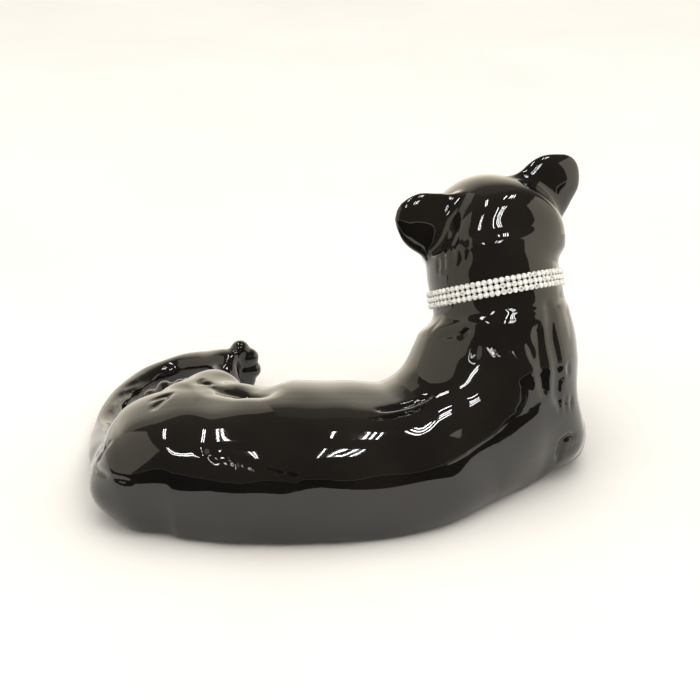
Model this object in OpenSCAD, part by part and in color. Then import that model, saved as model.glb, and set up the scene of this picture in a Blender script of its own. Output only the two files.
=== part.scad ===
// Reclining big cat in black glazed ceramic: castings luted together, felt pads underneath,
// and a three-row crystal collar that turns on the neck and closes with a fold-over clasp.
// Millimetres, +Z up. The cat looks towards +Y and its rump is at -X.

/* [Clay body] */
// Thickness of the cast clay walls
wall = 6; // [4:0.5:8]
// Diameter of the vent hole under the body
vent_d = 14; // [8:1:18]

/* [Felt pads] */
// Diameter of each pad under the base
pad_d = 26; // [22:1:30]
// Thickness of the pads, which is the height of the clay above the table
pad_t = 1.2; // [0.8:0.2:1.6]

/* [Collar] */
// Radius of the round neck under the collar
neck_r = 52.5; // [51.5:0.5:52.5]
// Gap between the neck and the collar
collar_gap = 0.4; // [0.4:0.1:0.8]
// Stone columns in a full turn, those that the clasp takes included
columns = 75; // [73:1:75]
// Stone columns that the clasp takes
clasp_columns = 7; // [7:2:9]
// Diameter of each stone
stone_d = 4; // [3.6:0.1:4]
// Height between two rows of stones
row_pitch = 4.6; // [4.6:0.1:5]

/* [Clasp] */
// Height of the clasp along the neck
clasp_h = 9; // [8:0.5:10]
// Diameter of the hinge pin
pin_d = 1; // [0.8:0.1:1]

/* [Hidden] */

glaze = [0.06, 0.055, 0.05];
crystal = [0.9, 0.93, 0.97];
silver = [0.78, 0.78, 0.8];
felt = [0.12, 0.12, 0.13];
X = [1, 0, 0];
Y = [0, 1, 0];
Z = [0, 0, 1];
// Middle of the footprint, which goes to the origin
base_centre = [-2.31, 29.19];
below_all = -999;

// ---- Collar's place ----
collar_at = [124, 30, 148];
collar_up = [-0.179, 0.394, 0.902] / norm([-0.179, 0.394, 0.902]);
function neck(k, w) = [each collar_at + k * collar_up, w, w];

// ---- Stations: [x, y, z, half width, half height] ----
// From the rump, along the flank, to the shoulder
barrel = [
    [-180, -66, 31, 28, 27], [-160, -65, 36, 43, 42], [-134, -60, 38, 57, 51], [-98, -57, 37, 70, 53],
    [-50, -58, 38, 72, 55.5], [0, -56, 38, 71, 55.5], [45, -46, 37, 68, 53], [85, -20, 41, 62, 55],
    [118, 10, 44, 57, 57], [146, 34, 40, 50, 48]];
// Upper thigh, from the hip to the knee
thigh = [[-129, -27, 48, 28, 38], [-116, -8, 48, 29, 37], [-102, 12, 47, 31, 36], [-88, 32, 44, 28, 32]];
// Slope of the withers: middle and radii
slope_at = [112, -16, 72];
slope_r = [48, 40, 48];
// Chest, standing on the table
chest = [
    [136, 28, 6, 48, 50], [135, 23, 40, 54, 56], [130, 18, 72, 54, 56], [126, 16, 98, 46, 50],
    [126, 16, 112, 38, 42]];
// Neck, on the collar's axis
throat = [
    neck(-72, 46), neck(-48, 52), neck(-26, 54), neck(-17, neck_r), neck(0, neck_r), neck(17, neck_r),
    neck(38, 49)];
// Left shoulder blade: middle and radii
blade_at = [89, 4, 82];
blade_r = [33, 39, 44];
upper_arm = [[154, -4, 101, 25, 25], [168, -8, 66, 24, 24], [179, -3, 31, 20, 20]];
tail_line = [
    [-160, -74, 36, 26, 26], [-181, -36, 32, 14, 18], [-192, 14, 20, 11, 14], [-196.8, 52, 13, 9.3, 11.8],
    [-196.5, 84, 12.5, 9.3, 11.3], [-193, 108, 12.5, 9.5, 11.3], [-187, 124, 12.7, 9.8, 11.5],
    [-174, 150, 13, 10.5, 12], [-159, 164, 14, 11, 12.5], [-142, 168, 18, 11.5, 13], [-122, 160, 24, 12, 13.5],
    [-104, 148, 29, 12, 13], [-92, 140, 29, 11, 12]];
left_shank = [[-92, 40, 40, 24, 24], [-112, 62, 28, 18, 19], [-128, 82, 17, 14, 15]];
left_foot = [[-132, 84, 16, 13, 14], [-112, 112, 17, 13, 15], [-96, 138, 22, 13, 18], [-76, 152, 25, 13, 21]];
right_foot = [[-118, 28, 22, 18, 18], [-138, 58, 17, 15, 15], [-158, 98, 19, 15, 13]];
right_arm = [[179, 3, 24, 20, 22], [187, 36, 21, 17, 20], [186, 84, 17, 16, 16], [180, 130, 16, 17, 15],
    [172, 170, 14, 20, 13]];
left_arm = [[88, 30, 40, 24, 32], [92, 74, 26, 18, 22], [98, 118, 18, 16, 16], [104, 156, 16, 18, 15],
    [108, 188, 14, 20, 13]];
// Head in its own frame, from the nape to the nose, with its turn about X, Y and Z
head_at = [124, 62, 184];
head_turn = [-8, -11, 20];
skull = [
    [0, -54, 0, 34, 32], [0, -34, 2, 46, 42], [0, 0, 2, 50, 46], [0, 30, -2, 47, 44],
    [0, 56, -8, 37, 35], [0, 78, -14, 29, 26], [0, 98, -16, 24, 22]];
// Ear in its own frame, from inside the skull to the tip
ear_line = [[0, 0, -14, 28, 12], [2, 0, 6, 26, 11], [5, 0, 22, 22, 9], [7, 0, 37, 14, 6]];
left_ear_at = [-48, -8, 22];
right_ear_at = [45, -8, 24];
left_ear_tilt = -66;
right_ear_tilt = 50;

// ---- Smooth limbs ----
// Point u of the smooth curve through the stations s
function along(s, u) =
    let (n = len(s) - 1, i = min(floor(u), n - 1), f = u - i,
        p0 = s[max(i - 1, 0)], p1 = s[i], p2 = s[i + 1], p3 = s[min(i + 2, n)])
    0.5 * (2 * p1 + (p2 - p0) * f + (2 * p0 - 5 * p1 + 4 * p2 - p3) * f * f
        + (3 * p1 - p0 - 3 * p2 + p3) * f * f * f);
function spot(s, u) = let (p = along(s, u)) [p[0], p[1], p[2]];
function unit(v) = v / norm(v);
function way(s, u) = unit(spot(s, min(u + 0.02, len(s) - 1)) - spot(s, max(u - 0.02, 0)));
function bent(c, power) = sign(c) * pow(abs(c), 2 / power);
function above(p, z) = [p[0], p[1], max(p[2], z)];

// Places of the rings along n stations: closer together in the rounded ends, e0 and e1 long
function places(n, e0, e1, mid, cap) = concat(
    [for (i = [1:cap]) e0 * (1 - cos(90 * i / (cap + 0.5)))],
    [for (i = [0:mid]) e0 + (n - e0 - e1) * i / mid],
    [for (i = [cap:-1:1]) n - e1 * (1 - cos(90 * i / (cap + 0.5)))]);
function closing(u, n, e0, e1) =
    u < e0 ? sqrt(1 - pow(1 - u / e0, 2)) : u > n - e1 ? sqrt(1 - pow(1 - (n - u) / e1, 2)) : 1;

// A limb through the stations s, its width measured along side, its ends rounded, flat at floor_z
module limb(s, side, ends, mid, cap, around, power = 2, inset = 0, floor_z = pad_t) {
    n = len(s) - 1;
    us = places(n, ends[0], ends[1], mid, cap);
    m = len(us);
    function ring(u) =
        let (p = along(s, u), t = way(s, u), a = unit(side - (side * t) * t), b = cross(t, a),
            k = closing(u, n, ends[0], ends[1]), w = (p[3] - inset) * k, h = (p[4] - inset) * k)
        [for (j = [0:around - 1]) let (g = 360 * j / around) above([p[0], p[1], p[2]]
            + a * w * bent(cos(g), power) + b * h * bent(sin(g), power), floor_z)];
    function corner(i, j) = i * around + j % around;
    points = [for (u = us) each ring(u), above(spot(s, 0) + way(s, 0) * inset, floor_z),
        above(spot(s, n) - way(s, n) * inset, floor_z)];
    faces = concat(
        [for (i = [0:m - 2], j = [0:around - 1])
            [corner(i, j), corner(i + 1, j), corner(i + 1, j + 1), corner(i, j + 1)]],
        [for (j = [0:around - 1]) [m * around, corner(0, j), corner(0, j + 1)]],
        [for (j = [0:around - 1]) [m * around + 1, corner(m - 1, j + 1), corner(m - 1, j)]]);
    polyhedron(points, faces, convexity = 10);
}
// Joins and trims the forms inside it into one skin
module one_skin() { resize([0, 0, 0]) children(); }
module placed() { translate([-base_centre[0], -base_centre[1], 0]) children(); }
module clay() { color(glaze) placed() one_skin() children(); }

// ---- Forms of the body; inset makes the cavity inside the wall ----
module barrel_form(inset = 0, mid = 30, around = 44) {
    limb(barrel, Y, [0.8, 0.6], mid, 4, around, 2.8, inset, pad_t + inset);
}
module chest_form(inset = 0, mid = 14, around = 40) {
    limb(chest, Y, [0.4, 0.6], mid, 3, around, 2, inset, pad_t + inset);
}
module neck_form(inset = 0, mid = 18, around = 48) {
    limb(throat, Y, [0.5, 0.3], mid, 3, around, 2, inset, below_all);
}
module torso_form() {
    barrel_form();
    chest_form();
    neck_form();
    translate(blade_at) scale(blade_r) sphere(r = 1, $fn = 36);
    translate(slope_at) scale(slope_r) sphere(r = 1, $fn = 36);
    limb(upper_arm, Y, [0.5, 0.5], 8, 4, 24, 2, 0, pad_t);
    limb(thigh, X, [0.6, 0.8], 10, 3, 28);
}
module in_head() { translate(head_at) rotate(head_turn) children(); }
module head_form(inset = 0, mid = 22, around = 40) {
    in_head() limb(skull, X, [0.8, 0.7], mid, 4, around, 2.1, inset, below_all);
}
module cavity() {
    barrel_form(wall, 14, 24);
    chest_form(wall, 10, 24);
    neck_form(wall, 10, 28);
    head_form(wall, 10, 24);
}
module ear_form(at, tilt) {
    in_head() translate(at) rotate([0, tilt, 0]) difference() {
        limb(ear_line, X, [0.3, 1.1], 10, 3, 28, 2, 0, below_all);
        translate([0, 16, 24]) scale([1, 0.55, 1.1]) sphere(r = 21, $fn = 32);
    }
}
module tail_form() { limb(tail_line, Z, [0.3, 0.5], 44, 4, 20); }
module left_hind_form() {
    limb(left_shank, X, [0.4, 0.5], 8, 3, 20);
    limb(left_foot, Y, [0.4, 0.6], 12, 4, 20, 2.2);
}
module in_collar() {
    translate(collar_at) rotate([0, acos(collar_up[2]), atan2(collar_up[1], collar_up[0])]) children();
}
module above_collar() {
    reach = 300;
    in_collar() translate([-reach / 2, -reach / 2, 0]) cube(reach);
}

// ---- Castings ----
pad_spots = [[-134, -54], [-20, -86], [60, -14], [120, 8]];
module torso_casting() {
    clay() difference() {
        torso_form();
        above_collar();
        cavity();
        translate([pad_spots[2][0], pad_spots[2][1], 0]) cylinder(d = vent_d, h = 3 * wall, $fn = 32);
    }
}
module head_casting() {
    clay() difference() {
        union() {
            head_form();
            intersection() { neck_form(); above_collar(); }
        }
        cavity();
    }
}
module ear(at, tilt) { clay() difference() { ear_form(at, tilt); head_form(); neck_form(); } }
module left_ear() { ear(left_ear_at, left_ear_tilt); }
module right_ear() { ear(right_ear_at, right_ear_tilt); }
module tail() { clay() difference() { tail_form(); torso_form(); } }
module left_foreleg() { clay() difference() { limb(left_arm, X, [0.5, 0.5], 16, 4, 24, 2.2); torso_form(); } }
module right_foreleg() { clay() difference() { limb(right_arm, X, [0.5, 0.5], 16, 4, 24, 2.2); torso_form(); } }
module left_hind_leg() { clay() difference() { left_hind_form(); torso_form(); tail_form(); } }
module right_hind_foot() {
    clay() difference() {
        limb(right_foot, X, [0.5, 0.6], 10, 4, 20, 2.2);
        torso_form();
        tail_form();
        left_hind_form();
    }
}
module felt_pads() {
    color(felt) placed() for (p = pad_spots) translate([p[0], p[1], 0]) cylinder(d = pad_d, h = pad_t, $fn = 64);
}

// ---- Collar, in its own frame: Z along the neck, X to the throat where the clasp is ----
wire_t = 0.3;
wire_h = 0.8;
ring_r = neck_r + collar_gap;
seat_r = ring_r + wire_t;
step_a = 360 / columns;
open_a = clasp_columns * step_a / 2;
cup_wall = 0.2;
cup_d = stone_d + 2 * cup_wall;
cup_h = 1.3;
cup_base = 0.3;
girdle = 0.2;
crown_h = 0.7;
table_d = 0.55 * stone_d;
bar_w = 1.8;
bar_t = 2.6;
bar_h = 3 * row_pitch + 0.8;

module collar_piece(c) { color(c) placed() in_collar() children(); }
// A full turn of columns at the height of one row, without those of the clasp
module row_of(level) {
    first = (clasp_columns + 1) / 2;
    for (i = [first:columns - first])
        rotate([0, 0, i * step_a]) translate([seat_r, 0, level * row_pitch]) rotate([0, 90, 0]) children();
}
module stone() {
    rotate_extrude($fn = 32) polygon([[0, cup_base], [stone_d * 0.15, cup_base], [stone_d / 2, cup_h],
        [stone_d / 2, cup_h + girdle], [table_d / 2, cup_h + girdle + crown_h], [0, cup_h + girdle + crown_h]]);
}
module cup() {
    rotate_extrude($fn = 32) polygon([[0, 0], [cup_d / 2, 0], [cup_d / 2, cup_h + girdle],
        [stone_d / 2, cup_h + girdle], [stone_d / 2, cup_h], [stone_d * 0.15, cup_base], [0, cup_base]]);
}
module upper_stones() { collar_piece(crystal) row_of(1) stone(); }
module middle_stones() { collar_piece(crystal) row_of(0) stone(); }
module lower_stones() { collar_piece(crystal) row_of(-1) stone(); }
module upper_cups() { collar_piece(silver) row_of(1) cup(); }
module middle_cups() { collar_piece(silver) row_of(0) cup(); }
module lower_cups() { collar_piece(silver) row_of(-1) cup(); }
// One thin hoop behind each row of cups
module link_wires() {
    collar_piece(silver) for (level = [-1:1]) translate([0, 0, level * row_pitch]) rotate([0, 0, open_a])
        rotate_extrude(angle = 360 - 2 * open_a, $fn = 180)
            translate([ring_r, -wire_h / 2]) square([wire_t, wire_h]);
}
module end_bar(turn) {
    rotate([0, 0, turn]) translate([ring_r, -bar_w / 2, -bar_h / 2]) cube([bar_t, bar_w, bar_h]);
}
bar_a = open_a - asin(bar_w / 2 / ring_r);
module left_end_bar() { collar_piece(silver) end_bar(-bar_a); }
module right_end_bar() { collar_piece(silver) end_bar(bar_a); }

// ---- Clasp: X along the collar, Y up the neck, Z away from the neck ----
plate_t = 0.5;
pin_x = -8.6;
pin_z = ring_r + 1.6;
knuckle_r = 0.95;
pin_play = 0.06;
cover_end = 7.2;
cover_z = pin_z + knuckle_r - plate_t;
cheek_t = 0.7;
loop_wire = 0.7;
loop_half_h = 2.8;
loop_x = 4.2;
tongue_x = 5.6;
side_gap = 0.15;
module in_clasp() { rotate(a = 120, v = [1, 1, 1]) children(); }
module clasp_piece() { collar_piece(silver) in_clasp() children(); }
module bars() { rotate(a = -120, v = [1, 1, 1]) { end_bar(-bar_a); end_bar(bar_a); } }

// Base plate, with two cheeks that hold the pin and a tongue for the loop
module clasp_frame() {
    clasp_piece() difference() {
        union() {
            translate([-12, -clasp_h / 2, ring_r]) cube([12 + cover_end, clasp_h, plate_t]);
            for (s = [-1, 1]) translate([pin_x - 1, s * (clasp_h - cheek_t) / 2 - cheek_t / 2, ring_r])
                cube([2, cheek_t, pin_z + knuckle_r - ring_r]);
            translate([tongue_x, -1.5, ring_r]) cube([0.6, 3, 1.6]);
        }
        translate([pin_x, 0, pin_z]) rotate([90, 0, 0]) cylinder(d = pin_d, h = clasp_h + 1, center = true, $fn = 48);
        bars();
    }
}
module clasp_pin() {
    clasp_piece() translate([pin_x, 0, pin_z]) rotate([90, 0, 0])
        cylinder(d = pin_d, h = clasp_h, center = true, $fn = 48);
}
// Lid: knuckle round the pin, top plate and front lip
module clasp_cover() {
    width = clasp_h - 2 * cheek_t - 2 * side_gap;
    clasp_piece() difference() {
        union() {
            translate([pin_x, 0, pin_z]) rotate([90, 0, 0]) cylinder(r = knuckle_r, h = width, center = true, $fn = 48);
            translate([pin_x, -width / 2, cover_z]) cube([cover_end - pin_x, width, plate_t]);
            translate([cover_end - plate_t, -width / 2, ring_r + 0.75]) cube([plate_t, width, cover_z - ring_r - 0.5]);
        }
        translate([pin_x, 0, pin_z]) rotate([90, 0, 0])
            cylinder(r = pin_d / 2 + pin_play, h = clasp_h, center = true, $fn = 48);
        translate([cover_end - 1, -loop_half_h - 0.4, ring_r]) cube([2, 2 * loop_half_h + 0.8, 1.6]);
    }
}
// Square loop on the far end bar, caught behind the tongue
module catch_loop() {
    z = ring_r + plate_t + 0.1;
    clasp_piece() difference() {
        translate([loop_x, -loop_half_h, z]) cube([12.2 - loop_x, 2 * loop_half_h, loop_wire]);
        translate([loop_x + loop_wire, -loop_half_h + loop_wire, z - 1])
            cube([12.2 - loop_x - 2 * loop_wire, 2 * (loop_half_h - loop_wire), 3]);
        bars();
    }
}

torso_casting();
head_casting();
left_ear();
right_ear();
tail();
left_foreleg();
right_foreleg();
left_hind_leg();
right_hind_foot();
felt_pads();
upper_stones();
middle_stones();
lower_stones();
upper_cups();
middle_cups();
lower_cups();
link_wires();
left_end_bar();
right_end_bar();
catch_loop();
clasp_frame();
clasp_pin();
clasp_cover();
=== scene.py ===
"""Looks of the reclining ceramic cat: one glazed skin over its castings, and a crystal collar.

Design coordinates are part.scad's own, in millimetres. BASE_CENTRE takes them to the row frame.
"""
import math
import bmesh
import bpy
import numpy as np
import openvdb as vdb
from mathutils import Matrix, Vector


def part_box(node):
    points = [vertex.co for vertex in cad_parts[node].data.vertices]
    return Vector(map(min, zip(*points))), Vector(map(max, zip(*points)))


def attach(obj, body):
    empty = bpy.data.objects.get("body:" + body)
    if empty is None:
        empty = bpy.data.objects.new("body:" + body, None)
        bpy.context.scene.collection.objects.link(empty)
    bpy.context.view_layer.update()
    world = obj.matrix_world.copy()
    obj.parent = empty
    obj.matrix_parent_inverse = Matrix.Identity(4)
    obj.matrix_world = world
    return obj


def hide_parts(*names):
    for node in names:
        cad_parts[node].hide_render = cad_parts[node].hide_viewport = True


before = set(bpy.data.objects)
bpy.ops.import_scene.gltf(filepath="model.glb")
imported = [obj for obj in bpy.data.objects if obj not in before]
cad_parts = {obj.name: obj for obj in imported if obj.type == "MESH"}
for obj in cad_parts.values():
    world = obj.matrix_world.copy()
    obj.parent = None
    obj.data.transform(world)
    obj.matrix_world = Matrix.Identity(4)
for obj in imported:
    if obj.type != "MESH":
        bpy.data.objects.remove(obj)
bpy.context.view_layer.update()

MM = 0.001
BASE_CENTRE = np.array([-2.31, 29.19, 0.0])
PAD_T = 1.2
VOXEL = 1.4
BAND = 32.0
HOLLOW_DEPTH = 1.0
X, Y, Z = np.eye(3)


def unit(v):
    v = np.asarray(v, float)
    return v / np.linalg.norm(v)


# ---------------------------------------------------------------- stations
# Each is [x, y, z, half width, half height], in millimetres.
# They are near those of part.scad. The rump, tail, feet and ears are refined here.
COLLAR_AT = np.array([124.0, 30.0, 148.0])
COLLAR_UP = unit([-0.179, 0.394, 0.902])
NECK_R = 52.5


def neck(k, w):
    """A round station of the neck on the collar's axis."""
    return [*(COLLAR_AT + k * COLLAR_UP), w, w]


BARREL = [
    [-181, -70, 28, 29, 26], [-161, -68, 33, 46, 42], [-134, -62, 38, 60, 51], [-98, -57, 37, 70, 53],
    [-50, -58, 38, 72, 55.5], [0, -56, 38, 71, 55.5], [45, -46, 37, 68, 53], [85, -20, 41, 62, 55],
    [118, 10, 44, 57, 57], [146, 34, 40, 50, 48]]
THIGH = [[-129, -27, 48, 28, 38], [-116, -8, 48, 29, 37], [-102, 12, 47, 31, 36], [-88, 32, 44, 28, 32]]
CHEST = [
    [136, 28, 6, 48, 50], [135, 23, 40, 54, 56], [130, 18, 72, 54, 56], [126, 16, 98, 46, 50],
    [126, 16, 112, 38, 42]]
NECK = [
    neck(-72, 46), neck(-48, 52), neck(-26, 54), neck(-17, NECK_R), neck(0, NECK_R), neck(17, NECK_R),
    neck(38, 49)]
TAIL = [
    [-160, -74, 36, 26, 26], [-181, -36, 32, 14, 18], [-192, 14, 20, 11, 14], [-196.8, 52, 13, 9.3, 11.8],
    [-196.5, 84, 12.5, 9.3, 11.3], [-193, 108, 12.5, 9.5, 11.3], [-187, 124, 12.7, 9.8, 11.5],
    [-174, 150, 13, 10.5, 12], [-159, 164, 14, 11, 12.5], [-142, 168, 18, 11.5, 13],
    [-122, 160, 24, 12, 13.5], [-104, 147, 31, 12.5, 13], [-91, 139, 31, 11.5, 12.5]]
LEFT_SHANK = [[-92, 40, 40, 24, 24], [-112, 62, 28, 18, 19], [-128, 82, 17, 14, 15]]
LEFT_FOOT = [[-132, 84, 16, 13, 14], [-112, 112, 17, 13, 15], [-97, 142, 21, 13, 17]]
RIGHT_FOOT = [[-118, 28, 22, 18, 18], [-138, 58, 17, 15, 15], [-151, 84, 18, 13, 12]]
RIGHT_ARM = [[178, 4, 24, 20, 22], [186.5, 36, 21, 16.5, 20], [187, 84, 17, 16, 16], [180, 126, 16, 15, 14],
    [174, 150, 15, 18, 13]]
LEFT_ARM = [[88, 30, 40, 24, 32], [92, 74, 26, 18, 22], [98, 118, 18, 15, 16], [104, 150, 16, 15, 14],
    [107, 168, 15, 18, 13]]
HEAD_AT = np.array([123.5, 62.0, 183.0])
HEAD_TURN = [-8, -11, 20]
SKULL = [
    [0, -54, 0, 34, 32], [0, -34, 2, 46, 42], [0, 0, 2, 50, 46], [0, 30, -2, 47, 44],
    [0, 56, -8, 35, 33], [0, 78, -14, 25, 22]]
EAR = [[0, 0, -14, 28, 12], [2, 0, 6, 26, 11], [5, 0, 22, 21, 9], [7, 0, 37, 13, 6]]
LEFT_EAR_AT, LEFT_EAR_TILT = [-48, -8, 22], -66
RIGHT_EAR_AT, RIGHT_EAR_TILT = [45, -8, 24], 50


def turn(axis, degrees):
    return np.array(Matrix.Rotation(math.radians(degrees), 3, axis))


HEAD_FRAME = turn("Z", HEAD_TURN[2]) @ turn("Y", HEAD_TURN[1]) @ turn("X", HEAD_TURN[0])


def on_head(p):
    """A point of the head's own frame, in design coordinates."""
    return HEAD_AT + HEAD_FRAME @ np.asarray(p, float)


# ---------------------------------------------------------------- lofts
def along(stations, u):
    """Points u of the smooth curve through the stations."""
    s = np.asarray(stations, float)
    n = len(s) - 1
    i = np.minimum(u.astype(int), n - 1)
    f = (u - i)[:, None]
    p0, p1, p2, p3 = s[np.maximum(i - 1, 0)], s[i], s[i + 1], s[np.minimum(i + 2, n)]
    return 0.5 * (2 * p1 + (p2 - p0) * f + (2 * p0 - 5 * p1 + 4 * p2 - p3) * f ** 2
                  + (3 * p1 - p0 - 3 * p2 + p3) * f ** 3)


def loft(stations, side, ends, power=2.0, per_station=16, cap=10, around=96):
    """Closed mesh through the stations, with rounded ends. side is the direction of the width."""
    n = len(stations) - 1
    e0, e1 = ends
    swell = 1 - np.cos(np.linspace(0, np.pi / 2, cap + 1)[1:-1])
    u = np.concatenate([e0 * swell, np.linspace(e0, n - e1, per_station * n), (n - e1 * swell)[::-1]])
    p = along(stations, u)
    way = along(stations, np.minimum(u + 0.02, n))[:, :3] - along(stations, np.maximum(u - 0.02, 0))[:, :3]
    way /= np.linalg.norm(way, axis=1)[:, None]
    a = side - (way @ side)[:, None] * way
    a /= np.linalg.norm(a, axis=1)[:, None]
    b = np.cross(way, a)
    closing = np.ones_like(u)
    closing[u < e0] = np.sqrt(1 - (1 - u[u < e0] / e0) ** 2)
    late = u > n - e1
    closing[late] = np.sqrt(1 - (1 - (n - u[late]) / e1) ** 2)
    g = np.linspace(0, 2 * np.pi, around, endpoint=False)
    c, s = (np.sign(w) * np.abs(w) ** (2 / power) for w in (np.cos(g), np.sin(g)))
    rings = (p[:, None, :3] + a[:, None] * (p[:, 3] * closing)[:, None, None] * c[None, :, None]
             + b[:, None] * (p[:, 4] * closing)[:, None, None] * s[None, :, None])
    tips = along(stations, np.array([0.0, float(n)]))[:, :3]
    points = np.concatenate([rings.reshape(-1, 3), tips])
    m = len(u)
    j = np.arange(around)
    k = (j + 1) % around
    faces = [np.stack([i * around + j, (i + 1) * around + j, (i + 1) * around + k], 1) for i in range(m - 1)]
    faces += [np.stack([i * around + j, (i + 1) * around + k, i * around + k], 1) for i in range(m - 1)]
    faces += [np.stack([np.full(around, m * around), j, k], 1),
              np.stack([np.full(around, m * around + 1), (m - 1) * around + k, (m - 1) * around + j], 1)]
    return points, np.concatenate(faces)


# ---------------------------------------------------------------- clay on a grid
def joined(a, b, k):
    h = np.maximum(k - np.abs(a - b), 0) / k
    return np.minimum(a, b) - h * h * (k / 4)


def carved(a, b, k):
    h = np.maximum(k - np.abs(a + b), 0) / k
    return np.maximum(a, -b) + h * h * (k / 4)


class Clay:
    """Signed distances in millimetres on a grid, negative inside. Forms are added and cut with soft joins."""

    def __init__(self, low, high):
        self.start = np.floor(np.asarray(low) / VOXEL).astype(int)
        self.shape = tuple(np.ceil(np.asarray(high) / VOXEL).astype(int) - self.start + 1)
        self.field = np.full(self.shape, BAND, np.float32)

    def window(self, low, high):
        """The part of the grid from low to high: its slices, and its coordinates."""
        a = np.clip(np.floor(np.asarray(low) / VOXEL).astype(int) - self.start, 0, np.array(self.shape) - 1)
        b = np.clip(np.ceil(np.asarray(high) / VOXEL).astype(int) - self.start + 1, a + 1, self.shape)
        cut = tuple(slice(i, j) for i, j in zip(a, b))
        axes = [((np.arange(i, j) + s) * VOXEL).astype(np.float32) for i, j, s in zip(a, b, self.start)]
        return cut, np.ix_(*axes)

    def form(self, mesh, k, cut=False):
        """Adds or cuts a closed mesh."""
        points, triangles = mesh
        window, _ = self.window(points.min(0) - BAND, points.max(0) + BAND)
        grid = vdb.FloatGrid.createLevelSetFromPolygons(
            points.astype(np.float32), triangles=triangles.astype(np.uint32),
            transform=vdb.createLinearTransform(VOXEL), exBandWidth=BAND / VOXEL, inBandWidth=BAND / VOXEL)
        distance = np.zeros(self.field[window].shape, np.float32)
        corner = [int(w.start + s) for w, s in zip(window, self.start)]
        grid.copyToArray(distance, ijk=corner)
        self.field[window] = (carved if cut else joined)(self.field[window], distance, k)

    def blob(self, at, radii, k, axes=None, cut=False):
        """Adds or cuts an ellipsoid. The columns of axes are its own directions."""
        at, radii = np.asarray(at, float), np.asarray(radii, float)
        axes = np.eye(3) if axes is None else axes
        reach = np.abs(axes) @ radii + k + 2 * VOXEL
        window, (x, y, z) = self.window(at - reach, at + reach)
        local = [(x - at[0]) * axes[0, i] + (y - at[1]) * axes[1, i] + (z - at[2]) * axes[2, i]
                 for i in range(3)]
        k0 = np.sqrt(sum((c / r) ** 2 for c, r in zip(local, radii)))
        k1 = np.sqrt(sum((c / r ** 2) ** 2 for c, r in zip(local, radii)))
        distance = (k0 * (k0 - 1) / np.maximum(k1, 1e-6)).astype(np.float32)
        self.field[window] = (carved if cut else joined)(self.field[window], distance, k)

    def cord(self, points, radii, k, cut=False):
        """Adds or cuts a chain of round-ended rods."""
        points = np.asarray(points, float)
        radii = np.broadcast_to(np.asarray(radii, float), len(points))
        reach = radii.max() + k + 2 * VOXEL
        window, (x, y, z) = self.window(points.min(0) - reach, points.max(0) + reach)
        distance = None
        for p, q, r0, r1 in zip(points[:-1], points[1:], radii[:-1], radii[1:]):
            d = q - p
            t = np.clip(((x - p[0]) * d[0] + (y - p[1]) * d[1] + (z - p[2]) * d[2]) / max(d @ d, 1e-9), 0, 1)
            one = np.sqrt((x - p[0] - t * d[0]) ** 2 + (y - p[1] - t * d[1]) ** 2
                          + (z - p[2] - t * d[2]) ** 2) - (r0 + t * (r1 - r0))
            distance = one if distance is None else np.minimum(distance, one)
        self.field[window] = (carved if cut else joined)(self.field[window], distance.astype(np.float32), k)

    def at(self, points):
        """Distances at the points, and the way out there."""
        def sample(p):
            q = np.clip(p / VOXEL - self.start, 0, np.array(self.shape) - 1.001)
            i = q.astype(int)
            f = q - i
            total = 0
            for c in np.ndindex(2, 2, 2):
                weight = np.prod(np.where(c, f, 1 - f), axis=1)
                total = total + weight * self.field[tuple((i + c).T)]
            return total
        points = np.atleast_2d(np.asarray(points, float))
        slope = np.stack([sample(points + VOXEL * e) - sample(points - VOXEL * e) for e in np.eye(3)], 1)
        return sample(points), slope / np.maximum(np.linalg.norm(slope, axis=1)[:, None], 1e-6)

    def snapped(self, points):
        """The points moved onto the surface, and the way out at each."""
        p = np.atleast_2d(np.asarray(points, float)).copy()
        for _ in range(8):
            d, out = self.at(p)
            p -= np.clip(d, -6, 6)[:, None] * out
        return p, self.at(p)[1]

    def groove(self, points, width, depth, k=1.5, ridge=False):
        """Cuts or raises a stroke along the points, tapering at its ends."""
        points, out = self.snapped(smooth_line(points))
        taper = np.sin(np.linspace(0.12, np.pi - 0.12, len(points))) ** 0.5
        radius = width / 2 * taper
        lift = (radius - depth * taper) * (-1 if ridge else 1)
        self.cord(points + out * lift[:, None], radius, k, cut=not ridge)


def smooth_line(points, step=4.0):
    """A smooth line through the points, with a point about every step."""
    points = np.asarray(points, float)
    if len(points) < 3:
        n = max(int(np.linalg.norm(points[-1] - points[0]) / step), 2)
        return points[0] + (points[-1] - points[0]) * np.linspace(0, 1, n + 1)[:, None]
    n = len(points) - 1
    length = np.linalg.norm(np.diff(points, axis=0), axis=1).sum()
    return along(points, np.linspace(0, n, max(int(length / step), 2 * n) + 1))


# ---------------------------------------------------------------- the cat
def body_forms(clay):
    clay.form(loft(BARREL, Y, [0.8, 0.6], 2.8), 1)
    clay.blob([-160, -73, 27], [32, 31, 25.5], 14)
    clay.form(loft(CHEST, Y, [0.4, 0.6]), 30)
    # Broad slope from the withers to the flank
    clay.blob([112, -16, 72], [48, 40, 48], 34)
    clay.form(loft(NECK, Y, [0.5, 0.3]), 36)
    # Left shoulder blade, and the right upper arm down to its elbow
    clay.blob([90, 4, 80], [31, 36, 42], 22)
    clay.blob([93, 10, 117], [20, 26, 22], 16)
    clay.cord([[150, -4, 100], [165, -8, 66], [178, -2, 32]], [23, 19, 18], 20)
    # Thigh with its knee over the flank, and the fold between them
    clay.form(loft(THIGH, X, [0.6, 0.8]), 12)
    clay.cord([[-104, -18, 103], [-90, -31, 102], [-76, -35, 102], [-62, -40, 103]], [9, 12, 14, 11], 14,
              cut=True)
    clay.cord([[-64, -30, 103], [-61, -12, 98], [-57, 4, 94], [-52, 20, 90]], [12, 13, 14, 15], 14, cut=True)


def tail_forms(clay):
    clay.form(loft(TAIL, Z, [0.3, 0.5]), 7)


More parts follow.
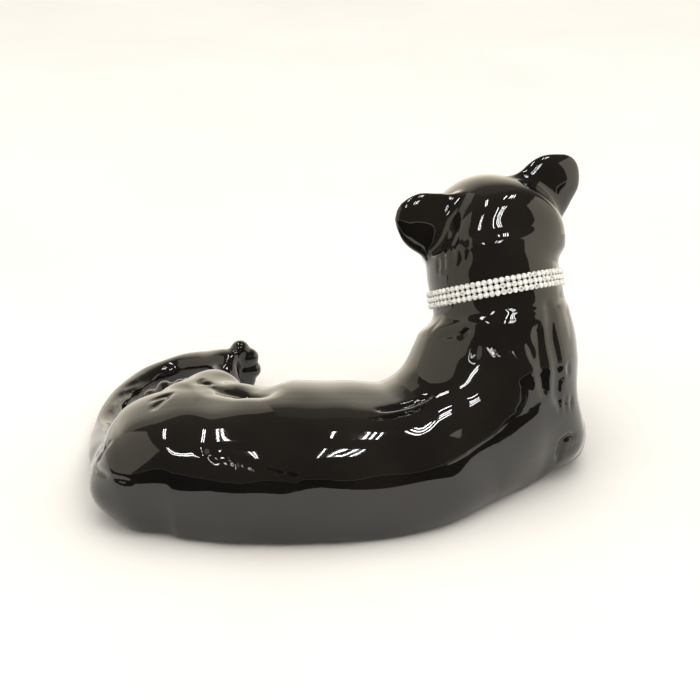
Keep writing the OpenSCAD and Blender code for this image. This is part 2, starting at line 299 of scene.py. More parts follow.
def toes(clay, roots, tips, root_r, tip_r, k=3.0):
    """One rod for each toe, from its root to its rounded tip."""
    for root, tip in zip(roots, tips):
        clay.cord([root, tip], [root_r, tip_r], k)


def hind_forms(clay):
    clay.form(loft(LEFT_SHANK, X, [0.4, 0.5]), 12)
    clay.form(loft(LEFT_FOOT, Y, [0.4, 0.4], 2.2), 8)
    # The left hind paw lies on its side, with its four toes one above the other
    toes(clay, [[-97, 154, 31], [-95, 151, 28], [-95, 149, 21], [-96, 147, 13]],
         [[-90, 151, 42], [-82, 152, 34], [-80, 152, 22], [-85, 152, 12]], 7.5, 8.8)
    clay.form(loft(RIGHT_FOOT, X, [0.5, 0.6], 2.2), 8)
    toes(clay, [[-150, 80, 17], [-146, 84, 20], [-138, 86, 20]],
         [[-164, 96, 20], [-153, 103, 25], [-139, 104, 26]], 8, 8.5)


def fore_paw(clay, wrist, tip, half=15):
    """A front paw laid flat: its back and four toes."""
    wrist, tip = np.asarray(wrist, float), np.asarray(tip, float)
    way = unit(tip - wrist)
    side = unit(np.cross(way, Z))
    length = np.linalg.norm(tip - wrist)
    clay.blob(wrist + way * length * 0.42, [half + 4, length * 0.52, 13], 8, np.stack([side, way, Z], 1))
    for place, short in ((-1, 5), (-0.35, 0), (0.35, 0.5), (1, 6)):
        root = wrist + way * length * 0.35 + side * place * half * 0.7
        end = tip - way * (short + 8) + side * place * half
        clay.cord([root, end + way * -6 + [0, 0, 2], end - [0, 0, 2]], [8.5, 8.6, 7.8], 2.5)


def arm_forms(clay):
    clay.form(loft(RIGHT_ARM, X, [0.5, 0.5], 2.2), 14)
    clay.form(loft(LEFT_ARM, X, [0.5, 0.5], 2.2), 18)
    fore_paw(clay, [178, 138, 13], [170, 171, 11])
    fore_paw(clay, [105, 154, 13], [109, 188, 11])


def head_forms(clay):
    points, faces = loft(SKULL, X, [0.8, 0.6], 2.1)
    clay.form((HEAD_AT + points @ HEAD_FRAME.T, faces), 22)
    for at, tilt in ((LEFT_EAR_AT, LEFT_EAR_TILT), (RIGHT_EAR_AT, RIGHT_EAR_TILT)):
        ear_frame = HEAD_FRAME @ turn("Y", tilt)
        points, faces = loft(EAR, X, [0.3, 1.1])
        clay.form((on_head(at) + points @ ear_frame.T, faces), 9)
        clay.blob(on_head(at) + ear_frame @ [0, 14, 20], [19, 12, 21], 4, ear_frame, cut=True)


def mirrored(points, side):
    return [[side * p[0], p[1], p[2]] for p in points]


def face_forms(clay):
    """A plain big cat's face, in the head's own frame: +Y to the nose, +Z up."""
    def blob(at, radii, k, cut=False, sides=(1, -1)):
        for side in sides:
            clay.blob(on_head([side * at[0], at[1], at[2]]), radii, k, HEAD_FRAME, cut)

    def cord(points, radii, k, cut=False, sides=(1, -1)):
        for side in sides:
            clay.cord([on_head(p) for p in mirrored(points, side)], radii, k, cut)

    def stroke(points, width, depth, k=1.5, ridge=False, sides=(1, -1)):
        for side in sides:
            clay.groove([on_head(p) for p in mirrored(points, side)], width, depth, k, ridge)

    middle = (1,)
    blob([33, 32, -10], [18, 28, 22], 14)
    blob([0, 64, -18], [25, 34, 21], 14, sides=middle)
    cord([[0, 36, 22], [0, 64, 8], [0, 90, -3]], [15, 11, 9], 10, sides=middle)
    cord([[26, 16, -34], [9, 66, -36]], [14, 10], 12)
    blob([0, 80, -36], [14, 13, 10], 6, sides=middle)
    # Sockets, eyes and lids
    blob([27, 62, 4], [13, 10, 9], 7, cut=True)
    blob([22, 49, 4], [12, 12, 11], 2)
    cord([[9, 64, 19], [22, 58, 20], [36, 44, 16]], [4, 6, 4], 8)
    stroke([[12, 66, 1], [16, 64, 7], [25, 60, 12], [36, 50, 8]], 3.0, 1.6, ridge=True)
    stroke([[12, 66, 1], [20, 62, -4], [29, 58, -3], [36, 50, 7]], 2.6, 1.3, ridge=True)
    # Whisker pads, nose and mouth
    blob([12, 86, -19], [14, 16, 13], 5)
    blob([0, 99, -5], [11, 6, 8], 3, sides=middle)
    blob([5.5, 105, -7], [2.8, 4, 2], 1.5, cut=True)
    stroke([[0, 104, -12], [0, 103, -20], [0, 100, -27]], 2.4, 1.8, sides=middle)
    stroke([[0, 100, -27], [10, 97, -31], [20, 86, -31], [26, 70, -26]], 2.8, 2.4)
    for row, z in enumerate((-13, -18, -23)):
        for dot in range(4):
            at, out = clay.snapped([on_head([side * (15 + 2.5 * dot), 98 - 6 * dot, z - row])
                                    for side in (1, -1)])
            for p, n in zip(at, out):
                clay.blob(p + n * 0.4, [1.2, 1.2, 1.2], 0.8, cut=True)


# Creases of the coat: a line's points, then its width, its depth and how softly it meets the surface
CREASES = [
    # Haunch
    ([[-142, -65, 88], [-136, -52, 89], [-129, -39, 88]], 4.0, 2.2),
    ([[-145, -50, 88], [-137, -44, 88], [-130, -40, 88]], 3.6, 1.8),
    ([[-110, -17, 87], [-105, -14, 87], [-101, -16, 87]], 4.0, 2.2),
    ([[-108, -5, 87], [-110, -12, 87], [-112, -20, 87]], 3.6, 1.8),
    # Valley between the thigh and the flank
    ([[-98, -24, 84], [-89, -34, 82], [-77, -38, 81], [-66, -42, 84], [-56, -45, 88]], 11.0, 1.6, 4.0),
    ([[-76, -38, 81], [-68, -42, 83], [-60, -46, 86]], 4.6, 2.6),
    # Root of the tail
    ([[-184, -80, 50], [-180, -83, 60], [-174, -85, 71]], 4.4, 2.4),
    ([[-185, -75, 43], [-177, -93, 48], [-170, -101, 50]], 4.0, 1.8),
    ([[-165, -104, 50], [-153, -108, 50]], 3.6, 0.9),
    # Behind the left shoulder, and the fold over the blade
    ([[30, -72, 90], [40, -68, 90], [50, -63, 90], [61, -58, 91], [71, -54, 92]], 4.6, 3.6),
    ([[97, -24, 126], [99, -25, 131], [101, -26, 136]], 4.8, 2.8),
    ([[86, -13, 121], [91, -18, 126], [96, -23, 130]], 3.6, 1.8),
    # Right upper arm and elbow
    ([[169, -31, 82], [170, -32, 69]], 3.6, 1.6),
    ([[176, -29, 81], [177, -30, 68]], 3.6, 1.6),
    ([[183, -24, 78], [183, -26, 68]], 3.6, 1.6),
    ([[166, -16, 106], [171, -19, 102], [175, -22, 97]], 3.6, 1.6),
    ([[163, -20, 99], [168, -24, 95]], 3.2, 1.2),
    ([[170, -16, 25], [172, -22, 33], [176, -27, 41], [181, -26, 44], [187, -22, 42]], 5.0, 3.2)]
# Soft folds down the back of the neck and the right shoulder
FOLDS = [
    [[160, -12, 150], [162, -25, 127], [164, -29, 98], [166, -32, 80]],
    [[150, -26, 134], [151, -34, 114], [153, -37, 92]]]


def coat_forms(clay):
    """Creases, folds and locks of fur pressed into the coat."""
    for points, *size in CREASES:
        clay.groove(points, *size)
    for points in FOLDS:
        clay.groove(points, 10.0, 0.7, 6.0)
    shuffle = np.random.default_rng(11)

    def locks(starts, way, length, width, depth):
        """A short stroke from each start, each a little different."""
        for start in starts:
            a = np.asarray(start, float) + shuffle.normal(0, 0.8, 3)
            b = a + unit(way) * length * shuffle.uniform(0.7, 1.3) + shuffle.normal(0, 1.0, 3)
            clay.groove([a, (a + b) / 2 + shuffle.normal(0, 0.7, 3), b], width, depth)

    # Ruff under the collar, at the left and at the back
    locks([[x, 14 - 1.5 * (x - 74), 134] for x in (75, 79, 83)], [-0.1, -0.15, -1], 12, 3.2, 1.4)
    locks([[x, -34, z] for x, z in ((104, 128), (109, 124), (115, 129), (121, 125), (128, 129), (134, 126),
                                    (141, 131), (146, 127))], [-0.1, -0.2, -1], 12, 3.4, 1.5)
    # Cheek behind the left ear
    locks([[84 + 4 * i, 22 - 4.5 * i - 3 * j, 200 - 11 * j] for i in range(5) for j in range(4)],
          [-0.1, -0.35, -1], 9, 3.2, 1.4)
    # Crest of the flank, and the rump above the tail
    locks([[-103 + 8 * i, -114 - 1.6 * i, 76 - 1.5 * i] for i in range(9)], [1, -0.2, -0.5], 6, 3.4, 1.6)
    locks([[-196 + 3 * i, -62 - 4 * i, 58 + 3 * i] for i in range(5)], [0.5, -0.5, -0.8], 9, 3.2, 1.4)
    # Tail, lengthways
    line = along(TAIL, np.linspace(1.2, 7.6, 15))
    for i, lean in enumerate((112, 130, 148, 166)):
        out = line[:, :3] + np.array([[0, 0, math.sin(math.radians(lean))]]) * line[:, 4:5]
        centre = np.array([-135.0, 70.0, 0.0])
        to_centre = centre - line[:, :3]
        to_centre[:, 2] = 0
        to_centre /= np.linalg.norm(to_centre, axis=1)[:, None]
        out = out - to_centre * (math.cos(math.radians(lean)) * line[:, 3:4])
        for k in range(i % 3, 12, 3):
            clay.groove(out[k:k + 3], 3.2, 1.3)


def hand_worked(clay):
    """Shallow hollows of hand modelling, all pressed inward."""
    x, y, z = np.ix_(*[((np.arange(n) + s) * VOXEL).astype(np.float32)
                       for n, s in zip(clay.shape, clay.start)])
    wave = (np.sin(x / 8.4 + z / 17 + 0.5) * np.sin(z / 9.2 - x / 27 + y / 31 + 1.0)
            + 0.6 * np.sin(y / 10.5 + x / 33) * np.sin(x / 12.3 + z / 22 + 2.0)) / 1.6
    clay.field += (HOLLOW_DEPTH / 2 * (1 + wave)).astype(np.float32)


def round_neck(clay):
    """Makes the neck exactly round where the collar turns."""
    full, gone, reach = 10.0, 24.0, 78.0
    window, (x, y, z) = clay.window(COLLAR_AT - reach, COLLAR_AT + reach)
    d = [c - o for c, o in zip((x, y, z), COLLAR_AT)]
    h = sum(c * u for c, u in zip(d, COLLAR_UP))
    radial = np.sqrt(np.maximum(sum(c * c for c in d) - h * h, 0))
    t = np.clip((gone - np.abs(h)) / (gone - full), 0, 1)
    weight = t * t * (3 - 2 * t) * (radial < reach - 2)
    clay.field[window] = clay.field[window] * (1 - weight) + (radial - NECK_R) * weight


def flat_base(clay):
    z = (np.arange(clay.shape[2]) + clay.start[2]) * VOXEL
    clay.field = np.maximum(clay.field, (PAD_T - z)[None, None, :].astype(np.float32))


def blurred(field):
    """The grid with each value averaged with its neighbours."""
    for axis in range(3):
        field = np.moveaxis(field, axis, 0)
        inner = 0.25 * (field[:-2] + field[2:]) + 0.5 * field[1:-1]
        field = np.concatenate([field[:1], inner, field[-1:]])
        field = np.moveaxis(field, 0, axis)
    return field


def relaxed(points, quads, rounds=6):
    """The mesh smoothed without shrinking it."""
    edges = np.concatenate([quads[:, [0, 1]], quads[:, [1, 2]], quads[:, [2, 3]], quads[:, [3, 0]]])
    n = len(points)
    count = np.bincount(edges[:, 0], minlength=n) + np.bincount(edges[:, 1], minlength=n)
    for i in range(2 * rounds):
        total = np.stack([np.bincount(edges[:, 0], points[edges[:, 1], c], n)
                          + np.bincount(edges[:, 1], points[edges[:, 0], c], n) for c in range(3)], 1)
        points = points + (0.5 if i % 2 == 0 else -0.52) * (total / count[:, None] - points)
    return points


def to_mesh(clay, name):
    grid = vdb.FloatGrid()
    grid.copyFromArray(np.ascontiguousarray(blurred(clay.field), dtype=np.float32))
    points, quads = grid.convertToQuads(0.0)
    points = relaxed(np.asarray(points, float), np.asarray(quads, int))
    points = ((points + clay.start) * VOXEL - BASE_CENTRE) * MM
    a, b, c = (points[quads[:, i]] for i in range(3))
    volume = np.einsum("ij,ij->", a, np.cross(b, c))
    if volume < 0:
        quads = quads[:, ::-1]
    mesh = bpy.data.meshes.new(name)
    mesh.from_pydata(points.tolist(), [], quads.tolist())
    mesh.update()
    mesh.shade_smooth()
    piece = bpy.data.objects.new(name, mesh)
    bpy.context.scene.collection.objects.link(piece)
    return piece


# ---------------------------------------------------------------- materials
def shader(name):
    material = bpy.data.materials.new(name)
    material.use_nodes = True
    nodes = material.node_tree.nodes
    return material, nodes, material.node_tree.links, nodes["Principled BSDF"]


def noise(nodes, links, scale, detail=3.0, roughness=0.5):
    """A noise texture in the object's own metres."""
    where = nodes.new("ShaderNodeTexCoord")
    texture = nodes.new("ShaderNodeTexNoise")
    texture.inputs["Scale"].default_value = scale
    texture.inputs["Detail"].default_value = detail
    texture.inputs["Roughness"].default_value = roughness
    links.new(where.outputs["Object"], texture.inputs["Vector"])
    return texture


def spread(nodes, links, texture, low, high, start=0.35, end=0.65):
    """The noise mapped to go from low to high."""
    scaled = nodes.new("ShaderNodeMapRange")
    scaled.inputs["From Min"].default_value = start
    scaled.inputs["From Max"].default_value = end
    scaled.inputs["To Min"].default_value = low
    scaled.inputs["To Max"].default_value = high
    links.new(texture.outputs["Fac"], scaled.inputs["Value"])
    return scaled.outputs["Result"]


def ramp(nodes, links, texture, colours):
    mix = nodes.new("ShaderNodeValToRGB")
    stops = mix.color_ramp.elements
    for i, (place, colour) in enumerate(colours):
        stop = stops[i] if i < 2 else stops.new(place)
        stop.position = place
        stop.color = (*colour, 1)
    links.new(texture.outputs["Fac"], mix.inputs["Fac"])
    return mix.outputs["Color"]


def bump(nodes, links, texture, strength, distance, below=None):
    node = nodes.new("ShaderNodeBump")
    node.inputs["Strength"].default_value = strength
    node.inputs["Distance"].default_value = distance
    links.new(texture.outputs["Fac"], node.inputs["Height"])
    if below:
        links.new(below, node.inputs["Normal"])
    return node.outputs["Normal"]


def glaze():
    material, nodes, links, bsdf = shader("black_glaze")
    pooling = noise(nodes, links, 18, 4)
    links.new(ramp(nodes, links, pooling, [(0.35, (0.0045, 0.0042, 0.004)), (0.7, (0.010, 0.0085, 0.007))]),
              bsdf.inputs["Base Color"])
    links.new(spread(nodes, links, noise(nodes, links, 55, 3), 0.025, 0.06), bsdf.inputs["Roughness"])
    bsdf.inputs["IOR"].default_value = 1.55
    bsdf.inputs["Coat Weight"].default_value = 0.25
    bsdf.inputs["Coat Roughness"].default_value = 0.02
    waves = bump(nodes, links, noise(nodes, links, 60, 1.5, 0.4), 1.0, 0.00006)
    peel = bump(nodes, links, noise(nodes, links, 420, 2, 0.5), 1.0, 0.000006, waves)
    links.new(peel, bsdf.inputs["Normal"])
    return material


def felt():
    material, nodes, links, bsdf = shader("pad_felt")
    links.new(ramp(nodes, links, noise(nodes, links, 900, 4, 0.7),
                   [(0.3, (0.008, 0.008, 0.009)), (0.72, (0.035, 0.034, 0.036))]), bsdf.inputs["Base Color"])
    links.new(spread(nodes, links, noise(nodes, links, 500, 3), 0.85, 1.0), bsdf.inputs["Roughness"])
    bsdf.inputs["Specular IOR Level"].default_value = 0.15
    bsdf.inputs["Sheen Weight"].default_value = 0.35
    links.new(bump(nodes, links, noise(nodes, links, 1600, 4, 0.8), 1.0, 0.0002), bsdf.inputs["Normal"])
    return material


def silver():
    material, nodes, links, bsdf = shader("silver_plate")
    links.new(ramp(nodes, links, noise(nodes, links, 160, 4, 0.6),
                   [(0.3, (0.78, 0.76, 0.70)), (0.7, (0.96, 0.94, 0.89))]), bsdf.inputs["Base Color"])
    bsdf.inputs["Metallic"].default_value = 0.35
    links.new(spread(nodes, links, noise(nodes, links, 700, 4, 0.6), 0.18, 0.34), bsdf.inputs["Roughness"])
    links.new(bump(nodes, links, noise(nodes, links, 1500, 3, 0.6), 1.0, 0.000004), bsdf.inputs["Normal"])
    return material


def crystal():
    """Foil-backed stone with painted glints: every one of its facets gets a random bright or dark base colour
    that stands in for its reflections.
    """
    material, nodes, links, bsdf = shader("crystal")
    # Painted glints and dark reflections: a random value per face picks a grey to white base colour.
    painted_glint = nodes.new("ShaderNodeAttribute")
    painted_glint.attribute_name = "painted_glint"
    links.new(ramp(nodes, links, painted_glint, [(0.0, (0.30, 0.29, 0.27)), (0.22, (0.74, 0.72, 0.67)),
                                         (1.0, (1.0, 0.99, 0.95))]), bsdf.inputs["Base Color"])
    links.new(spread(nodes, links, noise(nodes, links, 300, 2), 0.03, 0.08), bsdf.inputs["Roughness"])
    bsdf.inputs["IOR"].default_value = 1.6
    bsdf.inputs["Coat Weight"].default_value = 0.6
    return material


# ---------------------------------------------------------------- collar
# Sizes of part.scad, in millimetres, except the cup wall: it is 0.2 there, and thicker here to look dense
COLUMNS = 75
CLASP_COLUMNS = 7
ROW_PITCH = 4.6
STONE_R = 2.0
TABLE_R = 1.1
CUP_WALL = 0.28
CUP_BASE = 0.3
GIRDLE_LOW = 1.3
GIRDLE_HIGH = 1.5
TABLE_Z = 2.2
RING_R = NECK_R + 0.4
WIRE_T = 0.3
WIRE_H = 0.8
SEAT_R = RING_R + WIRE_T
STEP = 2 * np.pi / COLUMNS
PADS = [(-134, -54), (-20, -86), (60, -14), (120, 8)]
PAD_R = 13.0

collar_frame = (turn("Z", math.degrees(math.atan2(COLLAR_UP[1], COLLAR_UP[0])))
                @ turn("Y", math.degrees(math.acos(COLLAR_UP[2]))))


def ring(radius, z, count, start=0.0):
    g = start + np.arange(count) * 2 * np.pi / count
    return np.stack([radius * np.cos(g), radius * np.sin(g), np.full(count, z)], 1)


def brilliant():
    """Round stone with a table, eight star, eight kite and sixteen girdle facets, and its pavilion."""
    n = 8
    points = np.concatenate([
        ring(TABLE_R, TABLE_Z, n), ring(1.55, 1.91, n, np.pi / n), ring(STONE_R, GIRDLE_HIGH, 2 * n),
        ring(STONE_R, GIRDLE_LOW, 2 * n), ring(0.3 * STONE_R, CUP_BASE, n), [[0, 0, CUP_BASE]]])
    table, star, high, low, back, tip = 0, n, 2 * n, 4 * n, 6 * n, 7 * n
    faces = [list(range(n))]
    for i in range(n):
        j, k = (i + 1) % n, (i - 1) % n
        a, b, c = 2 * i, 2 * i + 1, (2 * i + 2) % (2 * n)
        faces += [[table + i, star + i, table + j], [table + i, star + k, high + a, star + i],
                  [star + i, high + a, high + b], [star + i, high + b, high + c],
                  [high + a, low + a, low + b, high + b], [high + b, low + b, low + c, high + c],
                  [low + a, back + i, low + b], [low + b, back + i, back + j], [low + b, back + j, low + c],
                  [back + i, tip, back + j]]
    return points, faces


def lathe(profile, count):
    """Surface of revolution about Z through (radius, height) points."""
    points = np.concatenate([ring(r, z, count) for r, z in profile])
    faces = [[i * count + j, i * count + (j + 1) % count, (i + 1) * count + (j + 1) % count,
              (i + 1) * count + j] for i in range(len(profile) - 1) for j in range(count)]
    return points, faces


def cup():
    """Setting: a turned cup with a rolled rim and four claws over the stone's edge."""
    outer = STONE_R + CUP_WALL
    points, faces = lathe([
        (0.02, 0.0), (1.6, 0.0), (1.95, 0.1), (2.1, 0.35), (outer, 0.75), (outer, GIRDLE_HIGH - 0.08),
        (outer - 0.03, GIRDLE_HIGH), (outer - 0.12, GIRDLE_HIGH), (STONE_R, GIRDLE_HIGH - 0.08),
        (STONE_R, GIRDLE_LOW), (0.6, CUP_BASE), (0.02, CUP_BASE)], 24)
    claw = [(outer - 0.01, 0.9, 0.36), (outer, 1.5, 0.34), (2.1, 1.72, 0.30), (1.86, 1.86, 0.25),
            (1.62, 1.98, 0.16)]
    thick = 0.15
    for quarter in range(4):
        g = (quarter + 0.5) * np.pi / 2
        out, side = np.array([np.cos(g), np.sin(g), 0]), np.array([-np.sin(g), np.cos(g), 0])
        base = len(points)
        rows = []
        for i, (r, z, half) in enumerate(claw):
            inner = out * (r - thick * (1 if i < 2 else 0.5)) + Z * (z - (0 if i < 2 else thick))
            outside = out * min(r, outer) + Z * z
            rows += [inner - side * half, outside - side * half * 0.7, outside + side * half * 0.7,
                     inner + side * half]
        points = np.concatenate([points, rows])
        for i in range(len(claw) - 1):
            a, b = base + 4 * i, base + 4 * i + 4
            faces += [[a + j, a + (j + 1) % 4, b + (j + 1) % 4, b + j] for j in range(4)]
        end = base + 4 * (len(claw) - 1)
        faces += [[base + 3, base + 2, base + 1, base], [end, end + 1, end + 2, end + 3]]
    return points, faces


def to_row(points):
    """Points of the collar's own frame, in metres in the row frame."""
    return (COLLAR_AT - BASE_CENTRE + np.asarray(points) @ collar_frame.T) * MM


def add_piece(name, points, faces, material, body, nodes, smooth=False):
    mesh = bpy.data.meshes.new(name)
    mesh.from_pydata(np.asarray(points).tolist(), [], faces)
    mesh.validate()
    mesh.update()
    if smooth:
        mesh.shade_smooth()
        mesh.set_sharp_from_angle(angle=math.radians(40))
    mesh.materials.append(material)
    piece = bpy.data.objects.new(name, mesh)
    bpy.context.scene.collection.objects.link(piece)
    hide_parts(*nodes)
    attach(piece, body)
    return piece


def row_of(points, faces, level, wobble=0.0, seed=0):
    """The piece repeated in every column of a row that the clasp leaves free."""
    shuffle = np.random.default_rng(seed)
    first = (CLASP_COLUMNS + 1) // 2
    all_points, all_faces = [], []
    for i in range(first, COLUMNS - first + 1):
        tilt = np.array(Matrix.Rotation(wobble * shuffle.uniform(-1, 1), 3, "X")
                        @ Matrix.Rotation(wobble * shuffle.uniform(-1, 1), 3, "Y")
                        @ Matrix.Rotation(shuffle.uniform(0, np.pi) if wobble else 0.0, 3, "Z"))
        p = points @ tilt.T
        p = np.stack([SEAT_R + p[:, 2], p[:, 1], level * ROW_PITCH - p[:, 0]], 1)
        offset = len(points) * len(all_points)
        all_points.append(p @ np.array(Matrix.Rotation(i * STEP, 3, "Z")).T)
        all_faces += [[offset + k for k in f] for f in faces]
    return to_row(np.concatenate(all_points)), all_faces


def bevelled(node, width, material, body):
    """The CAD node's own shape with rounded edges."""
    work = bmesh.new()
    work.from_mesh(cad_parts[node].data)
    bmesh.ops.remove_doubles(work, verts=work.verts, dist=1e-6)
    bmesh.ops.dissolve_limit(work, angle_limit=math.radians(1), verts=work.verts, edges=work.edges)
    sharp = [e for e in work.edges if e.is_manifold and e.calc_face_angle(0) > math.radians(30)]
    bmesh.ops.bevel(work, geom=sharp, offset=width * MM, segments=3, profile=0.5, affect="EDGES",
                    clamp_overlap=True)
    mesh = bpy.data.meshes.new(node + "_finished")
    work.to_mesh(mesh)
    work.free()
    mesh.shade_smooth()
    mesh.set_sharp_from_angle(angle=math.radians(35))
    mesh.materials.clear()
    mesh.materials.append(material)
    piece = bpy.data.objects.new(node + "_finished", mesh)
    bpy.context.scene.collection.objects.link(piece)
    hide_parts(node)
    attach(piece, body)


def hoops():
    """Rounded link wires behind the three rows, joined up and down between the columns."""
    open_half = CLASP_COLUMNS * STEP / 2
    middle = RING_R + WIRE_T / 2
    g = np.linspace(open_half, 2 * np.pi - open_half, 240)
    section = [(WIRE_T / 2 * np.cos(t), WIRE_H / 2 * np.sin(t)) for t in np.arange(8) * np.pi / 4]
    points, faces = [], []

    def sweep(spine_points, out_ways, up_ways):
        base = len(points)
        for c, o, u in zip(spine_points, out_ways, up_ways):
            points.extend(c + o * a + u * b for a, b in section)
        n = len(spine_points)
        faces.extend([base + i * 8 + j, base + i * 8 + (j + 1) % 8, base + (i + 1) * 8 + (j + 1) % 8,
                      base + (i + 1) * 8 + j] for i in range(n - 1) for j in range(8))
        faces.append([base + j for j in range(7, -1, -1)])
        faces.append([base + (n - 1) * 8 + j for j in range(8)])

    around = np.stack([np.cos(g), np.sin(g), 0 * g], 1)
    for level in (-1, 0, 1):
        sweep(around * middle + Z * level * ROW_PITCH, around, np.repeat(Z[None], len(g), 0))
    for i in range((CLASP_COLUMNS + 1) // 2, COLUMNS - (CLASP_COLUMNS + 1) // 2 + 1):
        out = np.array([math.cos(i * STEP), math.sin(i * STEP), 0])
        across = np.cross(Z, out)
        heights = np.array([-ROW_PITCH, 0, ROW_PITCH])
        sweep([out * middle + Z * h for h in heights], [out] * 3, [across] * 3)
    return to_row(points), faces


def collar():
    plate, stone_look = silver(), crystal()
    shuffle = np.random.default_rng(5)
    for seed, (row, level) in enumerate((("upper", 1), ("middle", 0), ("lower", -1))):
        points, faces = row_of(*brilliant(), level, wobble=0.05, seed=seed + 1)
        piece = add_piece(row + "_crystals", points, faces, stone_look, "collar",
                          [row + "_stones"])
        # A random value for each face of the stones, which the crystal material turns into painted glints and
        # dark reflections.
        painted_glint_layer = piece.data.attributes.new("painted_glint", "FLOAT", "FACE")
        painted_glint_layer.data.foreach_set("value", shuffle.uniform(0, 1, len(piece.data.polygons)).astype(np.float32))
        points, faces = row_of(*cup(), level)
        add_piece(row + "_settings", points, faces, plate, "collar", [row + "_cups"],
                  smooth=True)
    points, faces = hoops()
    add_piece("link_hoops", points, faces, plate, "collar", ["link_wires"], smooth=True)
    for node, width in (("left_end_bar", 0.25), ("right_end_bar", 0.25), ("catch_loop", 0.12),
                        ("clasp_frame", 0.1), ("clasp_pin", 0.06)):
        bevelled(node, width, plate, "collar")
    bevelled("clasp_cover", 0.12, plate, "clasp_lid")


def pads():
    """Felt discs with a soft, slightly frayed edge, pressed flat by the weight of the clay."""
    shuffle = np.random.default_rng(3)
    points, faces = [], []
    around, rings_in = 72, 14
    for x, y in PADS:
        base = len(points)
        fray = 1 - 0.035 * shuffle.random(around)
        profile = ([(k / rings_in * 0.96, 0.0) for k in range(1, rings_in + 1)]
                   + [(0.99, 0.12), (1.0, 0.4), (1.0, 0.75), (0.985, 0.93)]
                   + [(k / rings_in * 0.96, 1.0) for k in range(rings_in, 0, -1)])
        for r, h in profile:
            for j in range(around):
                g = 2 * math.pi * j / around
                reach = PAD_R * r * (fray[j] if r > 0.9 else 1)
                height = PAD_T * h
                if h == 1.0:
                    height -= 0.05 * shuffle.random()
                elif h == 0.0 and r < 0.95:
                    height += 0.05 * shuffle.random()
                points.append([x + reach * math.cos(g), y + reach * math.sin(g), height])
        rows = len(profile)
        points += [[x, y, 0.0], [x, y, PAD_T]]
        faces += [[base + i * around + j, base + i * around + (j + 1) % around,
                   base + (i + 1) * around + (j + 1) % around, base + (i + 1) * around + j]
                  for i in range(rows - 1) for j in range(around)]
        low, high = base + rows * around, base + rows * around + 1
        faces += [[low, base + (j + 1) % around, base + j] for j in range(around)]
        last = base + (rows - 1) * around
        faces += [[high, last + j, last + (j + 1) % around] for j in range(around)]
    add_piece("base_felts", (np.array(points) - BASE_CENTRE) * MM, faces, felt(), "root",
              ["felt_pads"], smooth=True)


# ---------------------------------------------------------------- scene
def card(name, corners, strength, colour=(1, 1, 1)):
    """A flat reflector or flag that only reflections see."""
    mesh = bpy.data.meshes.new(name)
    mesh.from_pydata(corners, [], [tuple(range(len(corners)))])
    piece = bpy.data.objects.new(name, mesh)
    bpy.context.scene.collection.objects.link(piece)
    material = bpy.data.materials.new(name)
    material.use_nodes = True
    nodes, links = material.node_tree.nodes, material.node_tree.links
    nodes.remove(nodes["Principled BSDF"])
    light = nodes.new("ShaderNodeEmission")
    light.inputs["Color"].default_value = (*colour, 1)
    light.inputs["Strength"].default_value = strength
    links.new(light.outputs["Emission"], nodes["Material Output"].inputs["Surface"])
    mesh.materials.append(material)
    piece.visible_camera = False
    piece.visible_diffuse = False
    piece.visible_shadow = False
    piece.visible_transmission = False
    return piece


def fade(piece, low, high, bright, faint):
    """Makes the card bright up to the height low, and faint from high up."""
    nodes, links = piece.active_material.node_tree.nodes, piece.active_material.node_tree.links
    where = nodes.new("ShaderNodeTexCoord")
    height = nodes.new("ShaderNodeSeparateXYZ")
    strength = nodes.new("ShaderNodeMapRange")
    strength.inputs["From Min"].default_value = low
    strength.inputs["From Max"].default_value = high
    strength.inputs["To Min"].default_value = bright
    strength.inputs["To Max"].default_value = faint
    links.new(where.outputs["Object"], height.inputs["Vector"])
    links.new(height.outputs["Z"], strength.inputs["Value"])
    links.new(strength.outputs["Result"], nodes["Emission"].inputs["Strength"])


def floor_piece():
    mesh = bpy.data.meshes.new("floor")
    reach = 14.0
    mesh.from_pydata([(-reach, -reach, 0), (reach, -reach, 0), (reach, reach, 0), (-reach, reach, 0)], [],
                     [(0, 1, 2, 3)])
    floor = bpy.data.objects.new("floor", mesh)
    bpy.context.scene.collection.objects.link(floor)
    material, nodes, links, bsdf = shader("pale_floor")
    links.new(ramp(nodes, links, noise(nodes, links, 3, 5, 0.6),
                   [(0.3, (0.87, 0.83, 0.765)), (0.7, (0.93, 0.89, 0.82))]), bsdf.inputs["Base Color"])
    links.new(spread(nodes, links, noise(nodes, links, 20, 3), 0.45, 0.6), bsdf.inputs["Roughness"])
    bsdf.inputs["Specular IOR Level"].default_value = 0.0
    mesh.materials.append(material)


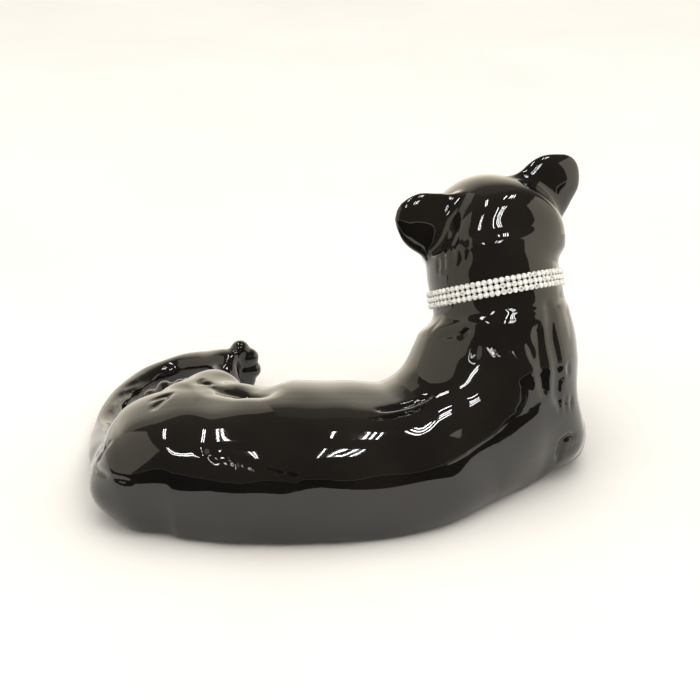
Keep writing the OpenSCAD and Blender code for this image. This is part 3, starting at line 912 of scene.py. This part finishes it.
def cards():
    """The pale walls, dark floor edge and ceiling tubes that the glaze mirrors."""
    back, top, side_l, side_r = 0.56, 1.0, -0.95, 1.05
    warm = (1.0, 0.91, 0.74)
    wall = card("back_card", [(-0.14, back, 0), (1.6, back, 0), (1.6, back, 0.8), (-0.14, back, 0.8)], 1.0,
                warm)
    fade(wall, 0.25, 0.54, 1.8, 0.2)
    wall = card("back_card_low", [(-1.6, back, 0), (-0.14, back, 0), (-0.14, back, 0.6), (-0.4, back, 0.75),
                                  (-1.6, back, 0.75)],
                1.0, warm)
    fade(wall, 0.25, 0.55, 1.6, 0.6)
    card("right_card", [(side_r, back, 0), (side_r, -0.42, 0), (side_r, -0.42, top), (side_r, back, top)],
         1.35, warm)
    card("left_card", [(side_l, back, 0), (side_l, -1.0, 0), (side_l, -1.0, 1.25), (side_l, back, 1.25)], 0.9,
         warm)
    dim = (1, 0.8, 0.6)
    card("floor_flag", [(-4, -0.9, 0.002), (4, -0.9, 0.002), (4, -5, 0.002), (-4, -5, 0.002)], 0.02, dim)
    card("table_edge", [(x, y, 0.001) for x, y in ((-1.4, 0.12), (0.05, -0.34), (0.22, -0.19), (0.6, -0.16),
                                                   (0.8, -0.5), (1.4, -0.8), (1.4, -0.95), (-1.4, -0.95))],
         0.02, dim)
    # Ceiling tubes, in two rows
    tube_z, tube_w, tube_glow = 2.35, 0.035, 40
    for i, x in enumerate((-0.76, -0.66, 0.30, 0.56, 0.67, 0.80)):
        for j, (y0, y1) in enumerate(((-2.3, -1.2), (-0.1, 0.56 if x > 0 else 1.05))):
            a, b = x - tube_w / 2, x + tube_w / 2
            card(f"tube_{i}_{j}", [(a, y0, tube_z), (b, y0, tube_z), (b, y1, tube_z), (a, y1, tube_z)],
                 tube_glow)


def lights():
    """Even white light on everything, and a dim brown room for reflections between the cards."""
    world = bpy.data.worlds.new("room")
    bpy.context.scene.world = world
    world.use_nodes = True
    nodes, links = world.node_tree.nodes, world.node_tree.links
    background = nodes["Background"]
    path = nodes.new("ShaderNodeLightPath")
    mix = nodes.new("ShaderNodeMix")
    mix.data_type = "RGBA"
    links.new(path.outputs["Is Glossy Ray"], mix.inputs[0])
    mix.inputs[6].default_value = (0.98, 0.975, 0.96, 1)
    mix.inputs[7].default_value = (0.13, 0.105, 0.08, 1)
    links.new(mix.outputs[2], background.inputs["Color"])
    background.inputs["Strength"].default_value = 1.0

    key = bpy.data.lights.new("key", "AREA")
    key.energy = 22
    key.size = 2.2
    lamp = bpy.data.objects.new("key", key)
    lamp.location = (0.2, -0.3, 2.2)
    lamp.visible_glossy = False
    bpy.context.scene.collection.objects.link(lamp)


def camera_at_photo_angle():
    camera_data = bpy.data.cameras.new("camera")
    camera_data.lens = 82.29
    camera_data.sensor_width = 36
    camera = bpy.data.objects.new("camera", camera_data)
    camera.location = (0.01031, -1.18719, 0.616)
    camera.rotation_euler = (math.radians(90 - 23.7), 0, 0)
    bpy.context.scene.collection.objects.link(camera)
    bpy.context.scene.camera = camera
    bpy.context.scene.view_settings.view_transform = "Standard"


CLAY_NODES = ["torso_casting", "head_casting", "left_ear", "right_ear", "tail", "left_foreleg",
              "right_foreleg", "left_hind_leg", "right_hind_foot"]


def skin():
    corners = np.array([[list(c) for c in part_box(n)] for n in CLAY_NODES]) / MM + BASE_CENTRE
    clay = Clay(corners[:, 0].min(0) - 6, corners[:, 1].max(0) + 6)
    body_forms(clay)
    tail_forms(clay)
    hind_forms(clay)
    arm_forms(clay)
    head_forms(clay)
    face_forms(clay)
    coat_forms(clay)
    hand_worked(clay)
    round_neck(clay)
    flat_base(clay)
    piece = to_mesh(clay, "glazed_skin")
    piece.data.materials.append(glaze())
    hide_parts(*CLAY_NODES)
    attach(piece, "root")


skin()
collar()
pads()
floor_piece()
cards()
lights()
camera_at_photo_angle()
